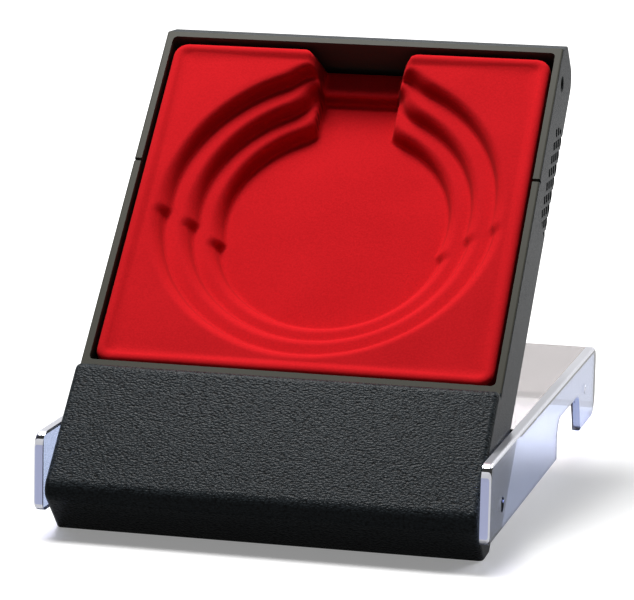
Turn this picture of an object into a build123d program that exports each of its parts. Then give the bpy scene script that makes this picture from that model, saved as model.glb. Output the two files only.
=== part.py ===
from build123d import *
import os
from math import asin, atan2, cos, hypot, radians, sin, tan

# Medal case with a clear lid. The lid folds right round behind the tray and props it up as an easel.
# Millimetres. X runs to the right, Y to the back, Z up. The origin is the middle of the front foot.
# On the base, l runs along the tray (0 at the far end of its rim, negative towards the hinge)
# and n stands square to the rim, with 0 at the rim. The lid uses the same l and n as when it is closed.

# Base moulding
base_width = 82.0
tray_depth = 14.2
side_wall = 1.5
floor_wall = 1.8
far_face = 2.6
far_bevel_start = -1.2
far_bevel_drop = 3.9
far_bottom_radius = 4.0
tray_far = -2.4
tray_near = -82.0
tray_corner = 1.0
rim_slot_l = -34.0
rim_slot_width = 0.7
rim_slot_depth = 1.1

# Grip on each side of the base: a lattice of diagonal ribs left standing between square pockets
grip_top = -6.3
grip_near = -38.2
grip_far = -15.0
grip_far_foot = -11.6
grip_near_radius = 3.5
grip_far_radius = 1.5
grip_pitch = 2.35
grip_rib = 0.75
grip_depth = 0.7
least_pocket = 0.6

# Spine across the hinge end of the base
spine_rise = 2.4
spine_rear = -84.0
spine_front = -113.6
spine_top_radius = 3.0
spine_rear_radius = 1.6
spine_wall = 2.2
spine_end_radius = 1.0
side_edge_radius = 0.4
foot_start = -109.4
stand_tilt = 43.2

# Hinge, with the studs part of the base
hinge_l = -102.8
hinge_n = -7.5
stud_radius = 1.45
stud_hole_radius = 1.5
stud_length = 2.0
stud_lead_in = 0.3

# Clear lid
lid_wall = 1.8
lid_gap = 0.4
panel_wall = 1.4
lid_far = 6.9
lid_drop = 12.6
panel_front = -83.6
panel_edge_radius = 0.6
arm_end = -115.5
arm_top_radius = 3.0
arm_foot_radius = 2.0
lid_far_top_radius = 3.0
lid_far_foot_radius = 4.5
lid_far_wall_foot = -11.0
lid_edge_radius = 0.6

# Finger notch in each side wall of the lid, and the grip grid that it uncovers
notch_near = -42.2
notch_top = -4.05
notch_near_radius = 4.0
notch_far = -11.5
notch_slope_start = -15.8
notch_far_radius = 3.0

# Detent: a nub inside each side wall of the lid, a dimple in each side of the base
detent_l = -6.6
detent_n = -4.6
nub_radius = 1.2
nub_height = 0.6
dimple_radius = 1.7
dimple_depth = 0.6
detent_taper = 40.0

# Round marks that the ejector pins leave inside the lid's panel
pin_mark_x = 36.5
pin_mark_l = -6.0
pin_mark_radius = 3.4
pin_mark_depth = 0.2

# Formed insert
sheet = 0.8
insert_width = 76.4
insert_near = -80.6
insert_far = -3.8
insert_corner = 3.0
plateau = -1.0
bead_width = 2.2
bead_height = 0.4
bead_radius = 0.9
bead_taper = 45.0
drape_radius = 0.6
mouth_radius = 2.0
ledge_step = 3.0
ledge_radii = (35.8, 30.6, 25.8)
ledge_centre = -42.5
upper_centre = -40.5
upper_inset = 1.4
upper_taper = 38.0
kinks = (-44.3, -47.5, -51.8)
channel_half = 10.5
channel_taper = 18.0
channel_floor = -8.0
sill = -10.4

# How near an edge lies to the place it is picked by, and how far a cut runs on past a face
pick = 0.01
run_out = 1.0

# The front foot is a flat cut across the spine's lower edge that lies level when the case stands
tilt = radians(stand_tilt)
foot_rise = (foot_start - spine_front) * tan(tilt)
foot_top = foot_rise - tray_depth
foot_middle_l = (spine_front + foot_start) / 2
foot_middle_n = foot_top - foot_rise / 2
along = Vector(0, cos(tilt), sin(tilt))
outward = Vector(0, -sin(tilt), cos(tilt))
base_origin = along * -foot_middle_l - outward * foot_middle_n
rim = Plane(origin=base_origin, x_dir=(1, 0, 0), z_dir=outward)
rim_along = Axis(base_origin, along)
rim_outward = Axis(base_origin, outward)
base_side = Plane(origin=base_origin, x_dir=along, z_dir=(1, 0, 0))
hinge = base_origin + along * hinge_l + outward * hinge_n

# The lid falls slightly towards its far end, until the round foot of its far wall is on the table
reach = lid_far - lid_far_foot_radius - hinge_l
drop = hinge_n + lid_drop - lid_far_foot_radius
lid_fall = asin((hinge.Z - lid_far_foot_radius) / hypot(reach, drop)) - atan2(drop, reach)
lid_along = Vector(0, cos(lid_fall), -sin(lid_fall))
lid_outward = Vector(0, sin(lid_fall), cos(lid_fall))
lid_origin = hinge - lid_along * hinge_l - lid_outward * hinge_n
lid_side = Plane(origin=lid_origin, x_dir=lid_along, z_dir=(1, 0, 0))
lid_inner_half = base_width / 2 + lid_gap
lid_half = lid_inner_half + lid_wall


def round_corner(at, radius):
    """Round the corner of the current sketch that lies nearest to a point."""
    fillet(vertices().sort_by_distance(at)[0], radius)


# Base: tray and spine in one moulding, from its side outline
grip_middle = (grip_near + grip_far_foot) / 2
grip_ribs = 2 * int((grip_far_foot - grip_near) / grip_pitch) + 1
with BuildPart() as base:
    with BuildSketch(base_side):
        with BuildLine():
            Polyline(
                (far_bevel_start, 0),
                (far_face, -far_bevel_drop),
                (far_face, -tray_depth),
                (foot_start, -tray_depth),
                (spine_front, foot_top),
                (spine_front, spine_rise),
                (spine_rear, spine_rise),
                (spine_rear, 0),
                close=True,
            )
        make_face()
        round_corner((far_face, -tray_depth), far_bottom_radius)
        round_corner((spine_front, spine_rise), spine_top_radius)
        round_corner((spine_rear, spine_rise), spine_rear_radius)
    extrude(amount=base_width / 2, both=True)
    front_ends = edges().filter_by_position(rim_along, spine_front - pick, spine_front + pick)
    fillet(front_ends.filter_by(rim_outward), spine_end_radius)
    fillet(faces().filter_by(Axis.X).edges(), side_edge_radius)

    # Tray
    with BuildSketch(rim):
        with Locations((0, (tray_near + tray_far) / 2)):
            RectangleRounded(base_width - 2 * side_wall, tray_far - tray_near, tray_corner)
    extrude(amount=floor_wall - tray_depth, mode=Mode.SUBTRACT)

    # Hollow of the spine, open underneath and drafted to leave the mould
    with BuildSketch(base_side):
        with BuildLine():
            Polyline(
                (foot_start + spine_wall, -tray_depth),
                (spine_front + spine_wall, spine_rise - 2 * spine_wall),
                (spine_front + 2 * spine_wall, spine_rise - spine_wall),
                (spine_rear - 2 * spine_wall, spine_rise - spine_wall),
                (tray_near - spine_wall, spine_rise - 3 * spine_wall),
                (tray_near - spine_wall, -tray_depth),
                close=True,
            )
        make_face()
    extrude(amount=base_width / 2 - spine_wall, both=True, mode=Mode.SUBTRACT)

    # A narrow slot across each side of the rim
    with BuildSketch(base_side):
        with Locations((rim_slot_l, 0)):
            Rectangle(rim_slot_width, 2 * rim_slot_depth)
    extrude(amount=base_width, both=True, mode=Mode.SUBTRACT)

    # Hinge studs, detent dimples and grips, the same at both ends
    for end in (1, -1):
        end_middle = base_origin + Vector(end * base_width / 2, 0, 0)
        end_face = Plane(origin=end_middle, x_dir=along, z_dir=(end, 0, 0))
        with BuildSketch(end_face):
            with Locations((hinge_l, end * hinge_n)):
                Circle(stud_radius)
        extrude(amount=stud_length)
        stud_tip = edges().filter_by(GeomType.CIRCLE).sort_by(Axis.X)[-1 if end == 1 else 0]
        chamfer(stud_tip, stud_lead_in)
        with BuildSketch(end_face):
            with Locations((detent_l, end * detent_n)):
                Circle(dimple_radius)
        extrude(amount=-dimple_depth, taper=detent_taper, mode=Mode.SUBTRACT)
        with BuildSketch(end_face, mode=Mode.PRIVATE) as grip:
            with BuildLine():
                Polyline(
                    (grip_near, -end * base_width),
                    (grip_near, end * grip_top),
                    (grip_far, end * grip_top),
                    (grip_far_foot, -end * tray_depth),
                    (grip_far_foot, -end * base_width),
                    close=True,
                )
            make_face()
            round_corner((grip_near, end * grip_top), grip_near_radius)
            round_corner((grip_far, end * grip_top), grip_far_radius)
            for slant in (45, -45):
                with Locations(Location((grip_middle, -end * tray_depth), slant)):
                    with GridLocations(0, grip_pitch, 1, grip_ribs):
                        Rectangle(base_width, grip_rib, mode=Mode.SUBTRACT)
        pockets = grip.sketch.faces().filter_by(lambda face: face.area > least_pocket)
        extrude(pockets, amount=-grip_depth, mode=Mode.SUBTRACT)


levels = [plateau - step * ledge_step for step in range(len(ledge_radii))]
channel_end = ledge_centre + ledge_radii[-1]
mouth_end = insert_far + mouth_radius


def sink_recess(grow):
    """Cut the medal recess, each face moved out by grow: 0 for the red face, the sheet for its back."""
    for level, radius, kink in zip(levels, ledge_radii, kinks):
        face = rim.offset(level - grow)
        with BuildSketch(face) as upper:
            with Locations((0, upper_centre)):
                Circle(radius - upper_inset + grow)
        extrude(upper.sketch, amount=-ledge_step, taper=upper_taper, mode=Mode.SUBTRACT)
        with BuildSketch(face) as lower:
            with Locations((0, ledge_centre)):
                Circle(radius + grow)
            with Locations((0, kink + grow)):
                Rectangle(2 * base_width, base_width, align=(Align.CENTER, Align.MAX), mode=Mode.INTERSECT)
        extrude(lower.sketch, amount=-ledge_step, mode=Mode.SUBTRACT)
    half = channel_half + grow
    with BuildSketch(rim.offset(plateau - grow)) as channel:
        with BuildLine():
            Polyline(
                (0, mouth_end),
                (0, channel_end),
                (half, channel_end),
                (half, insert_far - mouth_radius),
            )
            RadiusArc(
                (half, insert_far - mouth_radius),
                (channel_half + mouth_radius, insert_far - grow),
                mouth_radius - grow,
            )
            Polyline(
                (channel_half + mouth_radius, insert_far - grow),
                (channel_half + mouth_radius, mouth_end),
                (0, mouth_end),
            )
        make_face()
        mirror(about=Plane.YZ)
    extrude(channel.sketch, amount=channel_floor - plateau, taper=channel_taper, mode=Mode.SUBTRACT)
    extrude(channel.sketch, amount=bead_height + grow, mode=Mode.SUBTRACT)
    floor_half = channel_half - (plateau - channel_floor) * tan(radians(channel_taper)) + grow
    with BuildSketch(rim.offset(channel_floor)) as mouth:
        with Locations((0, sill + grow)):
            Rectangle(2 * floor_half, sill - upper_centre, align=(Align.CENTER, Align.MAX))
    extrude(mouth.sketch, amount=levels[-1] - ledge_step - channel_floor - grow, mode=Mode.SUBTRACT)


def is_draped(arc, draped):
    """Whether an arc is one of the edges given as pairs of level and radius."""
    height = (arc.center() - base_origin).dot(outward)
    return any(abs(height - level) < pick and abs(arc.radius - radius) < pick for level, radius in draped)


# Insert: one formed sheet with a bead round its edge, its skirt standing on the tray's floor
insert_length = insert_far - insert_near
insert_middle = (insert_far + insert_near) / 2
skirt = tray_depth - floor_wall + plateau
crown = plateau + bead_height
bead_top = bead_width - bead_height
inner_width = insert_width - 2 * bead_top
inner_length = insert_length - 2 * bead_top
with BuildPart() as insert_back:
    with BuildSketch(rim.offset(plateau - sheet)):
        with Locations((0, insert_middle)):
            RectangleRounded(insert_width - 2 * sheet, insert_length - 2 * sheet, insert_corner - sheet)
    extrude(amount=sheet - skirt)
    sink_recess(sheet)

with BuildPart() as medal_insert:
    with BuildSketch(rim.offset(crown)):
        with Locations((0, insert_middle)):
            RectangleRounded(insert_width, insert_length, insert_corner)
    extrude(amount=-skirt - bead_height)
    fillet(faces().sort_by(rim_outward)[-1].edges(), bead_radius)
    with BuildSketch(rim.offset(crown)):
        with Locations((0, insert_middle)):
            RectangleRounded(inner_width, inner_length, insert_corner - bead_top)
    extrude(amount=-bead_height, taper=bead_taper, mode=Mode.SUBTRACT)
    sink_recess(0)

    # Soft edges where the hot sheet drapes over the ledges. The largest one has no room below for a
    # soft edge, because it ends close to the bead.
    upper_radii = [radius - upper_inset for radius in ledge_radii]
    draped = [*zip(levels, upper_radii), *zip(levels[1:], ledge_radii[1:])]
    arcs = edges().filter_by(GeomType.CIRCLE)
    fillet(arcs.filter_by(lambda arc: is_draped(arc, draped)), drape_radius)
    add(insert_back.part, mode=Mode.SUBTRACT)

# Lid: panel, far wall and two side walls that run on as hinge arms
with BuildPart() as lid:
    with BuildSketch(lid_side):
        with BuildLine():
            Polyline(
                (arm_end, spine_rise),
                (lid_far, spine_rise),
                (lid_far, -lid_drop),
                (arm_end, -lid_drop),
                close=True,
            )
        make_face()
        round_corner((arm_end, spine_rise), arm_top_radius)
        round_corner((arm_end, -lid_drop), arm_foot_radius)
        round_corner((lid_far, spine_rise), lid_far_top_radius)
        round_corner((lid_far, -lid_drop), lid_far_foot_radius)
    extrude(amount=lid_half, both=True)
    fillet(faces().filter_by(Axis.X).edges(), lid_edge_radius)

    # Inside of the lid, and the gap between the arms that the spine fills
    with BuildSketch(lid_side):
        with Locations((lid_far - lid_wall, spine_rise - panel_wall)):
            Rectangle(2 * base_width, 2 * base_width, align=(Align.MAX, Align.MAX))
        with Locations((panel_front, 2 * spine_rise)):
            Rectangle(base_width, base_width, align=(Align.MAX, Align.MAX))
        with Locations((2 * lid_far, lid_far_wall_foot)):
            Rectangle(2 * base_width, base_width, align=(Align.MAX, Align.MAX))
    extrude(amount=lid_inner_half, both=True, mode=Mode.SUBTRACT)
    panel_ends = edges().filter_by_position(
        Axis(lid_origin, lid_along), panel_front - pick, panel_front + pick
    )
    fillet(panel_ends.filter_by(Axis.X), panel_edge_radius)

    # Finger notches
    with BuildSketch(lid_side):
        with BuildLine():
            Polyline(
                (notch_near, -lid_drop - run_out),
                (notch_near, notch_top),
                (notch_slope_start, notch_top),
                (notch_far, -lid_drop - run_out),
                close=True,
            )
        make_face()
        round_corner((notch_near, notch_top), notch_near_radius)
        round_corner((notch_slope_start, notch_top), notch_far_radius)
    extrude(amount=lid_half, both=True, mode=Mode.SUBTRACT)

    # Ejector pin marks
    panel_inside = Plane(origin=lid_origin + lid_outward * (spine_rise - panel_wall), z_dir=lid_outward)
    with BuildSketch(panel_inside):
        with Locations((-pin_mark_x, pin_mark_l), (pin_mark_x, pin_mark_l)):
            Circle(pin_mark_radius)
    extrude(amount=pin_mark_depth, mode=Mode.SUBTRACT)

    # Holes for the studs, and the detent nubs
    for end in (1, -1):
        inner_middle = lid_origin + Vector(end * lid_inner_half, 0, 0)
        inner_face = Plane(origin=inner_middle, x_dir=lid_along, z_dir=(end, 0, 0))
        with BuildSketch(inner_face):
            with Locations((hinge_l, end * hinge_n)):
                Circle(stud_hole_radius)
        extrude(amount=lid_wall, mode=Mode.SUBTRACT)
        with BuildSketch(inner_face):
            with Locations((detent_l, end * detent_n)):
                Circle(nub_radius)
        extrude(amount=-nub_height, taper=detent_taper)

os.makedirs("parts", exist_ok=True)
for name, piece in {"base": base, "medal_insert": medal_insert, "lid": lid}.items():
    piece.part.label = name
    export_step(piece.part, f"parts/{name}.step")
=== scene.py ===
from math import atan2, cos, hypot, pi, radians, sin, sqrt
import bmesh
import bpy
from mathutils import Matrix, Quaternion, Vector


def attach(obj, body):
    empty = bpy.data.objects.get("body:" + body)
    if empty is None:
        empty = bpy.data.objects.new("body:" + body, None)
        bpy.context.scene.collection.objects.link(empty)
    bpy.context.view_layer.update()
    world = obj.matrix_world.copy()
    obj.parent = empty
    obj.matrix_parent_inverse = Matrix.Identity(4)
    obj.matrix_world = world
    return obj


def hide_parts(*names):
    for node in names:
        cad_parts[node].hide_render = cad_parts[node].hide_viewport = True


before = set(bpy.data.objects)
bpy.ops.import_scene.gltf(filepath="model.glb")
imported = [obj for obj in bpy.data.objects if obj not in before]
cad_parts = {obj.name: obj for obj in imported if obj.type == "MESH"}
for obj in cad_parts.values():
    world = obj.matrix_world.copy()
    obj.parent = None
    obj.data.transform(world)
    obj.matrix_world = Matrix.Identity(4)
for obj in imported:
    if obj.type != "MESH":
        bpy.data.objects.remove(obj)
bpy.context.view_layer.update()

# Base. One black ABS moulding, tray and spine together, which leans back on the spine's level front foot.
# Its outer faces take a fine leather grain from the etched mould, and the rim, the tray's inside and the
# spine's hollow are smooth. The studs that the lid turns on are moulded on its sides.

# The foot is at the origin. Sizes are in millimetres in the tray's own directions: x across it, l along
# it (0 at the rim's far end, negative towards the foot) and n square to its rim (0 at the rim).
mm = 0.001
tray_tilt = radians(43.2)
foot_l, foot_n = -111.5, -12.228
along = Vector((0, cos(tray_tilt), sin(tray_tilt)))
outward = Vector((0, -sin(tray_tilt), cos(tray_tilt)))
rim_origin = -(along * foot_l + outward * foot_n) * mm
rim_top = ((-50, 50), (-83.4, 10), (-0.12, 10))
tray_inside = ((-40.6, 40.6), (-83.9, -1.3), (-13.6, 0.5))
spine_inside = ((-38.9, 38.9), (-111.3, -84.1), (-15.0, 0.35))
wrinkle_size, wrinkle_length, wrinkle_depth = 0.31, 1.6, 0.12
winding_size, winding_shift = 1.8, 0.3
speck_size, speck_share = 0.25, 0.5
painted_highlight_crest_black, painted_shade_pit_black, painted_sheen_smooth_grey = "#31373B", "#060708", "#4E4D45"
grain_roughness, smooth_roughness = 0.34, 0.4


def linear(hex_colour):
    """An sRGB colour such as "#AA0011" as linear RGBA."""
    parts = [int(hex_colour[i:i + 2], 16) / 255 for i in (1, 3, 5)]
    return [c / 12.92 if c <= 0.04045 else ((c + 0.055) / 1.055) ** 2.4 for c in parts] + [1]


def empty_tree(owner):
    """The node tree of a material or a world, emptied."""
    owner.use_nodes = True
    owner.node_tree.nodes.clear()
    return owner.node_tree


def add_node(tree, kind, inputs=(), **settings):
    """A shader node with its settings. Inputs are {socket: value}, and a node given there lends its
    first output."""
    node = tree.nodes.new(kind)
    for name, value in settings.items():
        setattr(node, name, value)
    for socket, value in dict(inputs).items():
        if isinstance(value, bpy.types.Node):
            value = value.outputs[0]
        if isinstance(value, bpy.types.NodeSocket):
            tree.links.new(value, node.inputs[socket])
        else:
            node.inputs[socket].default_value = value
    return node


def own_directions(tree, origin, length_way, height_way):
    """Sockets for where a point is in a moulding's own directions: across, along and square to it."""
    place = add_node(tree, "ShaderNodeTexCoord").outputs["Object"]
    place = add_node(tree, "ShaderNodeVectorMath", {0: place, 1: origin}, operation="SUBTRACT")
    ways = [add_node(tree, "ShaderNodeVectorMath", {0: place, 1: way}, operation="DOT_PRODUCT")
            for way in ((1, 0, 0), length_way, height_way)]
    return [way.outputs["Value"] for way in ways]


def inside_box(tree, place, sizes):
    """1 inside a box given by its limits in x, l and n in millimetres, and 0 outside it."""
    mask = 1.0
    for value, limits in zip(place, sizes):
        for limit, operation in zip(limits, ("GREATER_THAN", "LESS_THAN")):
            within = add_node(tree, "ShaderNodeMath", {0: value, 1: limit * mm}, operation=operation)
            mask = add_node(tree, "ShaderNodeMath", {0: within, 1: mask}, operation="MULTIPLY")
    return mask


# The grain gives a dull black that breaks into fine wrinkles, longer across the case than along it. Their
# crests are painted lighter, a painted highlight, and their pits darker, painted shade. The smooth rim and
# hollows are painted an even, warmer grey, a painted sheen that stands in for their reflection. The specks on
# them are drawn no finer than a pixel. Plain ABS reflects more, but then the white room turns it grey.
black_abs = bpy.data.materials.new("moulded_black_abs_leather_grain")
tree = empty_tree(black_abs)
place = own_directions(tree, rim_origin, along, outward)
smooth = inside_box(tree, place, rim_top)
for box in (tray_inside, spine_inside):
    hollow = inside_box(tree, place, box)
    smooth = add_node(tree, "ShaderNodeMath", {0: smooth, 1: hollow}, operation="MAXIMUM")
grained = add_node(tree, "ShaderNodeMath", {0: 1.0, 1: smooth}, operation="SUBTRACT")
place = add_node(tree, "ShaderNodeTexCoord").outputs["Object"]
stretched = add_node(tree, "ShaderNodeVectorMath", {0: place, 1: (1 / wrinkle_length, 1, 1)},
                     operation="MULTIPLY")
winding = add_node(tree, "ShaderNodeTexNoise",
                   {"Vector": stretched, "Scale": 1 / (winding_size * mm), "Detail": 2.0}).outputs["Color"]
wound = add_node(tree, "ShaderNodeVectorMath", {0: winding, 1: [winding_shift * mm] * 3, 2: stretched},
                 operation="MULTIPLY_ADD")
wrinkles = add_node(tree, "ShaderNodeTexVoronoi", {"Vector": wound, "Scale": 1 / (wrinkle_size * mm)},
                    feature="SMOOTH_F1")
specks = add_node(tree, "ShaderNodeTexNoise", {"Vector": stretched, "Scale": 1 / (speck_size * mm),
                                              "Detail": 3.0, "Roughness": 0.6})
hills = add_node(tree, "ShaderNodeMath", {0: wrinkles, 1: -1.0}, operation="MULTIPLY")
relief = add_node(tree, "ShaderNodeMath", {0: specks, 1: speck_share, 2: hills}, operation="MULTIPLY_ADD")
relief = add_node(tree, "ShaderNodeMath", {0: relief, 1: grained}, operation="MULTIPLY")
bump = add_node(tree, "ShaderNodeBump", {"Height": relief, "Strength": 1.0, "Distance": wrinkle_depth * mm})
# Painted highlight and painted shade: the wrinkles' crests are painted lighter and their pits darker.
painted_pit_shade = add_node(tree, "ShaderNodeMapRange", {"Value": wrinkles, "From Min": 0.25, "From Max": 0.75})
tone = add_node(tree, "ShaderNodeMixRGB", {"Fac": painted_pit_shade, "Color1": linear(painted_highlight_crest_black),
                                          "Color2": linear(painted_shade_pit_black)})
# Painted sheen: the smooth rim and hollows are painted grey.
colour = add_node(tree, "ShaderNodeMixRGB", {"Fac": smooth, "Color1": tone, "Color2": linear(painted_sheen_smooth_grey)})
roughness = add_node(tree, "ShaderNodeMapRange", {"Value": smooth, "To Min": grain_roughness,
                                                 "To Max": smooth_roughness})
shader = add_node(tree, "ShaderNodeBsdfPrincipled", {
    "Base Color": colour, "Roughness": roughness, "IOR": 1.52, "Specular IOR Level": 0.07, "Normal": bump,
})
add_node(tree, "ShaderNodeOutputMaterial", {"Surface": shader})
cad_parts["base"].data.materials[0] = black_abs

# Medal insert. One sheet of red flocked polystyrene, vacuum-formed over a mould and trimmed. It has a
# plateau with a soft bead round its edge, three round ledges for three medal sizes and a channel for the
# medal's ribbon, and it stands on the tray's floor by its skirt.
sheet = 0.8
insert_width, insert_near, insert_far = 77.8, -81.7, -3.4
insert_corner, edge_round = 3.0, 1.2
plateau, skirt_foot = -1.0, -12.4
bead_height, bead_inner, bead_slope = 0.6, 3.1, 1.8

# Each ledge is round, about one middle below its kink and about another, nearer the far end, above it.
ledge_step = 3.0
ledge_radii = (35.8, 30.6, 25.8)
ledge_centre, upper_centre, upper_inset = -42.5, -40.5, 1.1
upper_slope, lower_slope = 2.6, 3.2
kinks, kink_run = (-44.3, -45.2, -47.7), 2.6
inset_at_kink, slope_at_kink, fade_length = 0.6, 3.5, 15.0

# Beside the ribbon channel each ledge ends in a strip, and the channel opens wider at the far end.
strip_halves, strip_ends = (12.6, 11.0, 8.0), (-6.9, -8.6, -10.4)
strip_slope, strip_corner, strip_blend = 2.4, 3.4, 4.0
channel_half, channel_slope, channel_floor = 10.6, 3.2, -7.7
sill_start, sill_run = -10.7, 1.2
mouth_radius = 2.0

corner_share, lip_share, foot_share, bead_fade = 0.3, 0.7, 0.15, 0.8
spokes = 420
floor_rings, ledge_rings, field_rings, bead_rings = 16, 48, 8, 16
floor_radius, ledge_outer, bead_band = 21.0, 36.1, 3.1
band_share, bead_crowding = 0.9, 1.5
tray_frame = Matrix((
    (mm, 0, 0, 0),
    (0, along.y * mm, outward.y * mm, rim_origin.y),
    (0, along.z * mm, outward.z * mm, rim_origin.z),
    (0, 0, 0, 1),
))


def ease(distance, width):
    """0 at an edge to 1 past a slope of that width, straight in the middle and rounded at both ends."""
    t = min(max(distance / width, 0), 1)
    if t > 0.5:
        return 1 - ease(width - distance, width)
    bend = corner_share
    return t * t / (2 * bend * (1 - bend)) if t < bend else (t - bend / 2) / (1 - bend)


def drape(distance, width):
    """0 at the top of a wall to 1 at its foot. The sheet bends slowly over the lip, sharply at the foot."""
    t = min(max(distance / width, 0), 1)
    steep = 1 / (1 - lip_share / 2 - foot_share / 2)
    if t < lip_share:
        return steep * t * t / (2 * lip_share)
    if t < 1 - foot_share:
        return steep * (t - lip_share / 2)
    return 1 - steep * (1 - t) ** 2 / (2 * foot_share)


def inside_corner(over_x, over_l, radius):
    """How far a point lies inside a rectangle with rounded corners, from how far it is past the middles
    of the corners."""
    return radius - hypot(max(over_x, 0), max(over_l, 0)) - min(max(over_x, over_l), 0)


def edge_distance(x, l):
    """How far a point lies inside the insert's rounded outline."""
    half_x, half_l = insert_width / 2, (insert_far - insert_near) / 2
    over_l = abs(l - (insert_far + insert_near) / 2) - half_l
    return inside_corner(abs(x) - half_x + insert_corner, over_l + insert_corner, insert_corner)


def ledge_depth(x, l, radius, kink, strip_half, strip_end):
    """How far a ledge's wall has gone down at a point, from 0 outside it to 1 on its tread."""
    fading = ease(kink - l + fade_length, fade_length)
    inset = upper_inset + (inset_at_kink - upper_inset) * fading
    upper = radius - inset - hypot(x, l - upper_centre)
    strip = inside_corner(abs(x) - strip_half + strip_corner, l - strip_end + strip_corner, strip_corner)
    strip = min(strip, l - upper_centre)
    part = min(max(0.5 + 0.5 * (upper - strip) / strip_blend, 0), 1)
    upper = upper * part + strip * (1 - part) + strip_blend * part * (1 - part)
    slope = (upper_slope + (slope_at_kink - upper_slope) * fading) * part + strip_slope * (1 - part)
    lower = radius - hypot(x, l - ledge_centre)
    share = ease(kink - l + kink_run / 2, kink_run)
    return drape(upper + (lower - upper) * share, slope + (lower_slope - slope) * share)


def formed_height(x, l):
    """The height of the flocked face over the tray's rim, in millimetres."""
    ledges = zip(ledge_radii, kinks, strip_halves, strip_ends)
    depth = sum(ledge_step * ledge_depth(x, l, *ledge) for ledge in ledges)
    flare = max(0, l - insert_far + mouth_radius)
    half = channel_half + mouth_radius - sqrt(max(mouth_radius ** 2 - flare ** 2, 0))
    in_channel = drape(half - abs(x), channel_slope) if l > ledge_centre else 0
    floor = plateau - len(ledge_radii) * ledge_step
    sill = floor + (channel_floor - floor) * ease(l - sill_start, sill_run)
    depth = max(depth, in_channel * (plateau - sill))
    inside = edge_distance(x, l)
    bead = bead_height * (1 - ease(inside - bead_inner + bead_slope, bead_slope))
    rounding = max(0, edge_round - inside)
    drop = edge_round - sqrt(max(edge_round ** 2 - rounding ** 2, 0))
    return plateau - depth + bead * (1 - ease(depth, bead_fade)) - drop


def outline_radius(angle):
    """How far the insert's rounded outline is from the middle of the ledges, found by halving."""
    low, high = 30.0, 60.0
    for halving in range(24):
        middle = (low + high) / 2
        inside = edge_distance(middle * cos(angle), ledge_centre + middle * sin(angle)) > 0
        low, high = (middle, high) if inside else (low, middle)
    return low


# A row of points is spun to a disc of rings and spokes, which is spread to the outline and pressed to
# shape. The rings are close together over the ledges and the bead, and the skirt is drawn from the rim.
insert_mesh = bmesh.new()
ring_count = floor_rings + ledge_rings + field_rings + bead_rings
chain = [insert_mesh.verts.new((ring, 0, 0)) for ring in range(ring_count + 1)]
for inner, outer in zip(chain, chain[1:]):
    insert_mesh.edges.new((inner, outer))
bmesh.ops.spin(insert_mesh, geom=insert_mesh.verts[:] + insert_mesh.edges[:], axis=(0, 0, 1),
               cent=(0, 0, 0), angle=2 * pi, steps=spokes, use_merge=True)
bmesh.ops.remove_doubles(insert_mesh, verts=insert_mesh.verts, dist=0.0001)
border_at = {}
for vert in insert_mesh.verts:
    ring = round(vert.co.xy.length)
    angle = atan2(vert.co.y, vert.co.x)
    spoke = round(angle * spokes / (2 * pi))
    if spoke not in border_at:
        border_at[spoke] = outline_radius(angle)
    border = border_at[spoke]
    band = min(bead_band, band_share * (border - ledge_outer))
    if ring <= floor_rings:
        radius = floor_radius * ring / floor_rings
    elif ring <= floor_rings + ledge_rings:
        radius = floor_radius + (ledge_outer - floor_radius) * (ring - floor_rings) / ledge_rings
    elif ring <= ring_count - bead_rings:
        share = (ring - floor_rings - ledge_rings) / field_rings
        radius = ledge_outer + (border - band - ledge_outer) * share
    else:
        radius = border - band * ((ring_count - ring) / bead_rings) ** bead_crowding
    x, l = radius * cos(angle), ledge_centre + radius * sin(angle)
    vert.co = (x, l, formed_height(x, l))
border_edges = [edge for edge in insert_mesh.edges if edge.is_boundary]
skirt = bmesh.ops.extrude_edge_only(insert_mesh, edges=border_edges)["geom"]
for vert in skirt:
    if isinstance(vert, bmesh.types.BMVert):
        vert.co.z = skirt_foot
bmesh.ops.recalc_face_normals(insert_mesh, faces=insert_mesh.faces)
insert_mesh.transform(tray_frame)


def add_piece(name, mesh, material):
    """A finished bmesh as a smooth-shaded object with its place in its mesh."""
    data = bpy.data.meshes.new(name)
    for face in mesh.faces:
        face.smooth = True
    mesh.to_mesh(data)
    mesh.free()
    data.materials.append(material)
    piece = bpy.data.objects.new(name, data)
    bpy.context.scene.collection.objects.link(piece)
    return piece


# Flock is short nylon nap standing in glue. It gives a deep, even red with no highlight and with faint
# patches where it was brushed. Its steep walls are painted a darker red, as painted shade. The hairs are too
# fine for the render, so the nap is drawn as coarse as 0.4 mm.
nap_size, nap_depth, brushed_size, brushed_share = 0.4, 0.05, 14, 0.6
deep_red, lit_red, painted_shade_wall_red, sheen_red = "#CC141C", "#DC1A22", "#800A0F", "#FF5A50"
wall_steep, wall_gentle = 0.3, 0.6
red_flock = bpy.data.materials.new("red_nylon_flock")
tree = empty_tree(red_flock)
coordinates = add_node(tree, "ShaderNodeTexCoord").outputs
nap = add_node(tree, "ShaderNodeTexNoise", {"Vector": coordinates["Object"], "Scale": 1 / (nap_size * mm),
                                           "Detail": 3.0})
brushed = add_node(tree, "ShaderNodeTexNoise", {"Vector": coordinates["Object"],
                                               "Scale": 1 / (brushed_size * mm), "Detail": 2.0})
lie = add_node(tree, "ShaderNodeMath", {0: brushed, 1: brushed_share, 2: nap}, operation="MULTIPLY_ADD")
lie = add_node(tree, "ShaderNodeMapRange", {"Value": lie, "From Min": 0.5, "From Max": 1.0})
tone = add_node(tree, "ShaderNodeMixRGB", {"Fac": lie, "Color1": linear(deep_red), "Color2": linear(lit_red)})
level = add_node(tree, "ShaderNodeVectorMath", {0: coordinates["Normal"], 1: outward},
                 operation="DOT_PRODUCT").outputs["Value"]
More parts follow.
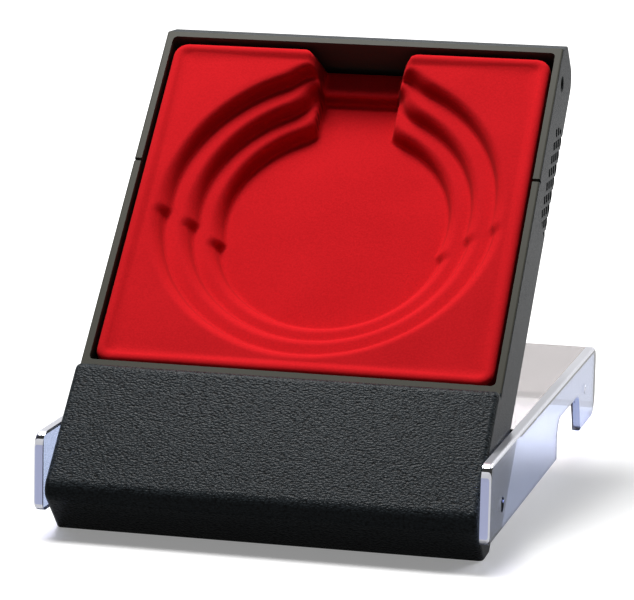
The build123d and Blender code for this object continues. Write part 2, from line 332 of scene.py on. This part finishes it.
# Painted shade: the steeper a wall, the darker red it is painted.
painted_wall_shade = add_node(tree, "ShaderNodeMapRange", {"Value": level, "From Min": wall_steep,
                                                 "From Max": wall_gentle, "To Min": 1.0, "To Max": 0.0})
colour = add_node(tree, "ShaderNodeMixRGB", {"Fac": painted_wall_shade, "Color1": tone, "Color2": linear(painted_shade_wall_red)})
bump = add_node(tree, "ShaderNodeBump", {"Height": nap, "Strength": 0.6, "Distance": nap_depth * mm})
shader = add_node(tree, "ShaderNodeBsdfPrincipled", {
    "Base Color": colour, "Normal": bump, "Roughness": 0.95, "Specular IOR Level": 0.1,
    "Sheen Weight": 0.1, "Sheen Roughness": 0.4, "Sheen Tint": linear(sheen_red),
})
add_node(tree, "ShaderNodeOutputMaterial", {"Surface": shader})

medal_insert = add_piece("flocked_insert", insert_mesh, red_flock)
thickness = medal_insert.modifiers.new("sheet", "SOLIDIFY")
thickness.thickness = sheet * mm
thickness.offset = -1
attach(medal_insert, "base")
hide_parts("medal_insert")

# Lid. One moulding of clear polystyrene. Its side walls run on past its panel as hinge arms, which snap
# over the studs on the base. It lies folded right back behind the tray, on its far edge.

# Its own directions are as the tray's are: across it, along it from its far end, and square to its panel.
lid_fall = radians(2.34)
lid_along = Vector((0, cos(lid_fall), -sin(lid_fall)))
lid_outward = Vector((0, sin(lid_fall), cos(lid_fall)))
hinge = Vector((0, 3.1055, 9.4021))
hinge_l, hinge_n = -102.8, -7.5
lid_origin = (hinge - lid_along * hinge_l - lid_outward * hinge_n) * mm
wall_inside, lid_top, arm_end = 41.4, 2.4, -115.5
edge_radius, end_face, skin = 0.6, 0.1, 0.05

# Clear polystyrene bends light more than glass does, and it leaves the mould polished. Its panel is tinted a
# faint warm grey, painted shade for the shaded table seen through it, and its side walls, seen along the
# sheet, look blue, as light does that has gone far through it. Their edges shine, because the plastic leads
# light along the wall. The renderer's rays end before they are led that far, so that shine is painted: the
# edges are drawn mostly reflective, a little dull and with a painted white glint, and the arms' ends with a
# painted violet glint.
painted_shade_panel_grey, wall_blue, painted_glint_edge_white, painted_glint_end_violet = "#D6D1CF", "#B6C2DE", "#F6F7FF", "#CCD3F8"
shadow_clear, depth_blue, depth_per_metre = "#E0DEE2", "#0055DE", 14.0
polish, edge_haze, edge_clearness, edge_mirror = 0.02, 0.3, 0.1, 0.9
clear_styrene = bpy.data.materials.new("clear_polystyrene")
tree = empty_tree(clear_styrene)
across, length, height = own_directions(tree, lid_origin, lid_along, lid_outward)
from_middle = add_node(tree, "ShaderNodeMath", {0: across}, operation="ABSOLUTE")
on_wall = add_node(tree, "ShaderNodeMath", {0: from_middle, 1: (wall_inside - skin) * mm},
                   operation="GREATER_THAN")
at_top = add_node(tree, "ShaderNodeMath", {0: height, 1: (lid_top - edge_radius) * mm},
                  operation="GREATER_THAN")
at_end = add_node(tree, "ShaderNodeMath", {0: length, 1: (arm_end + edge_radius) * mm},
                  operation="LESS_THAN")
edge = add_node(tree, "ShaderNodeMath", {0: at_top, 1: at_end}, operation="MAXIMUM")
edge = add_node(tree, "ShaderNodeMath", {0: edge, 1: on_wall}, operation="MULTIPLY")
on_end = add_node(tree, "ShaderNodeMath", {0: length, 1: (arm_end + end_face) * mm}, operation="LESS_THAN")
# Painted shade: the panel's grey tint.
tint = add_node(tree, "ShaderNodeMixRGB", {"Fac": on_wall, "Color1": linear(painted_shade_panel_grey),
                                          "Color2": linear(wall_blue)})
# Painted glints: white on the edges, violet on the arms' ends.
glint = add_node(tree, "ShaderNodeMixRGB", {"Fac": on_end, "Color1": linear(painted_glint_edge_white),
                                           "Color2": linear(painted_glint_end_violet)})
colour = add_node(tree, "ShaderNodeMixRGB", {"Fac": edge, "Color1": tint, "Color2": glint})
clearness = add_node(tree, "ShaderNodeMapRange", {"Value": edge, "To Min": 1.0, "To Max": edge_clearness})
mirror = add_node(tree, "ShaderNodeMath", {0: edge, 1: edge_mirror}, operation="MULTIPLY")
haze = add_node(tree, "ShaderNodeMapRange", {"Value": edge, "To Min": polish, "To Max": edge_haze})
shader = add_node(tree, "ShaderNodeBsdfPrincipled", {
    "Base Color": colour, "Transmission Weight": clearness, "Metallic": mirror, "Roughness": haze,
    "IOR": 1.59,
})
lamp_ray = add_node(tree, "ShaderNodeLightPath").outputs["Is Shadow Ray"]
let_through = add_node(tree, "ShaderNodeBsdfTransparent", {"Color": linear(shadow_clear)})
surface = add_node(tree, "ShaderNodeMixShader", {0: lamp_ray, 1: shader, 2: let_through})
depth = add_node(tree, "ShaderNodeVolumeAbsorption", {"Color": linear(depth_blue),
                                                     "Density": depth_per_metre})
add_node(tree, "ShaderNodeOutputMaterial", {"Surface": surface, "Volume": depth})
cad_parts["lid"].data.materials[0] = clear_styrene

# Table. A pale, matt sheet that runs out of sight. Seen directly or through the lid it glows up to white,
# least under the case, so that the case's shadow shows on it. It lights the case as a mid grey would.
table_half, seen_white, lighting_grey = 4.0, "#F2F2F2", "#606060"
glow_near, glow_far, glow_least, glow_through = 0.1, 0.45, 0.25, 0.4
glossy_share = 0.45
floor_mesh = bmesh.new()
bmesh.ops.create_grid(floor_mesh, x_segments=1, y_segments=1, size=table_half)
table_white = bpy.data.materials.new("pale_table")
tree = empty_tree(table_white)
ray = add_node(tree, "ShaderNodeLightPath").outputs
reflected = add_node(tree, "ShaderNodeMath", {0: ray["Is Glossy Ray"], 1: glossy_share}, operation="MULTIPLY")
seen = add_node(tree, "ShaderNodeMath", {0: ray["Is Camera Ray"], 1: reflected}, operation="MAXIMUM")
seen = add_node(tree, "ShaderNodeMath", {0: seen, 1: ray["Is Transmission Ray"]}, operation="MAXIMUM")
colour = add_node(tree, "ShaderNodeMixRGB", {"Fac": seen, "Color1": linear(lighting_grey),
                                            "Color2": linear(seen_white)})
matt = add_node(tree, "ShaderNodeBsdfPrincipled", {"Base Color": colour, "Roughness": 0.9,
                                                  "Specular IOR Level": 0.0})
place = add_node(tree, "ShaderNodeTexCoord").outputs["Object"]
away = add_node(tree, "ShaderNodeVectorMath", {0: place}, operation="LENGTH").outputs["Value"]
spread = add_node(tree, "ShaderNodeMapRange", {"Value": away, "From Min": glow_near, "From Max": glow_far,
                                              "To Min": glow_least, "To Max": 1.0})
strength = add_node(tree, "ShaderNodeMath", {0: seen, 1: spread}, operation="MULTIPLY")
through = add_node(tree, "ShaderNodeMath", {0: ray["Is Transmission Ray"], 1: glow_through},
                   operation="MULTIPLY")
strength = add_node(tree, "ShaderNodeMath", {0: strength, 1: through}, operation="MAXIMUM")
glow = add_node(tree, "ShaderNodeEmission", {"Strength": strength})
surface = add_node(tree, "ShaderNodeAddShader", {0: matt, 1: glow})
add_node(tree, "ShaderNodeOutputMaterial", {"Surface": surface})
floor = add_piece("floor", floor_mesh, table_white)

# Room and lamps. The room is white to the eye and through the lid, less so in reflections, and hardly
# lights the case. A large soft light hangs over the case, a little behind and to the left, and a weaker
# one stands at the right behind it.
room_glossy, room_fill = 0.6, 0.05
room = bpy.data.worlds.new("white_room")
bpy.context.scene.world = room
tree = empty_tree(room)
ray = add_node(tree, "ShaderNodeLightPath").outputs
reflected = add_node(tree, "ShaderNodeMath", {0: ray["Is Glossy Ray"], 1: room_glossy}, operation="MULTIPLY")
seen = add_node(tree, "ShaderNodeMath", {0: ray["Is Transmission Ray"], 1: reflected}, operation="MAXIMUM")
seen = add_node(tree, "ShaderNodeMath", {0: ray["Is Camera Ray"], 1: seen}, operation="MAXIMUM")
strength = add_node(tree, "ShaderNodeMath", {0: seen, 1: room_fill}, operation="MAXIMUM")
background = add_node(tree, "ShaderNodeBackground", {"Color": (1, 1, 1, 1), "Strength": strength})
add_node(tree, "ShaderNodeOutputWorld", {"Surface": background})


def add_softbox(name, place, aim, size, power):
    """A square area light at a place, turned to an aim point."""
    lamp = bpy.data.lights.new(name, "AREA")
    lamp.shape = "SQUARE"
    lamp.size = size
    lamp.energy = power
    holder = bpy.data.objects.new(name, lamp)
    holder.location = place
    holder.rotation_mode = "QUATERNION"
    holder.rotation_quaternion = (Vector(aim) - Vector(place)).to_track_quat("-Z", "Y")
    bpy.context.scene.collection.objects.link(holder)


add_softbox("overhead_softbox", (-0.14, 0.13, 0.62), aim=(0, 0.04, 0.04), size=0.22, power=4.8)
add_softbox("rear_softbox", (0.42, 0.50, 0.38), aim=(0, 0.04, 0.03), size=0.3, power=1.8)

# Camera. It has the photograph's view: to the right of straight on, a little above, and slightly rolled.
camera_azimuth, camera_elevation, camera_roll = radians(13.58), radians(12.38), radians(0.65)
camera_distance, camera_lens = 0.6388, 186.8
camera_aim = Vector((0, 0.03497, 0.03846))
back = Vector((sin(camera_azimuth) * cos(camera_elevation), -cos(camera_azimuth) * cos(camera_elevation),
               sin(camera_elevation)))
camera = bpy.data.objects.new("camera", bpy.data.cameras.new("camera"))
bpy.context.scene.collection.objects.link(camera)
camera.location = camera_aim + back * camera_distance
camera.rotation_mode = "QUATERNION"
camera.rotation_quaternion = (-back).to_track_quat("-Z", "Y") @ Quaternion((0, 0, 1), camera_roll)
camera.data.lens = camera_lens
bpy.context.scene.camera = camera
bpy.context.scene.view_settings.view_transform = "Standard"
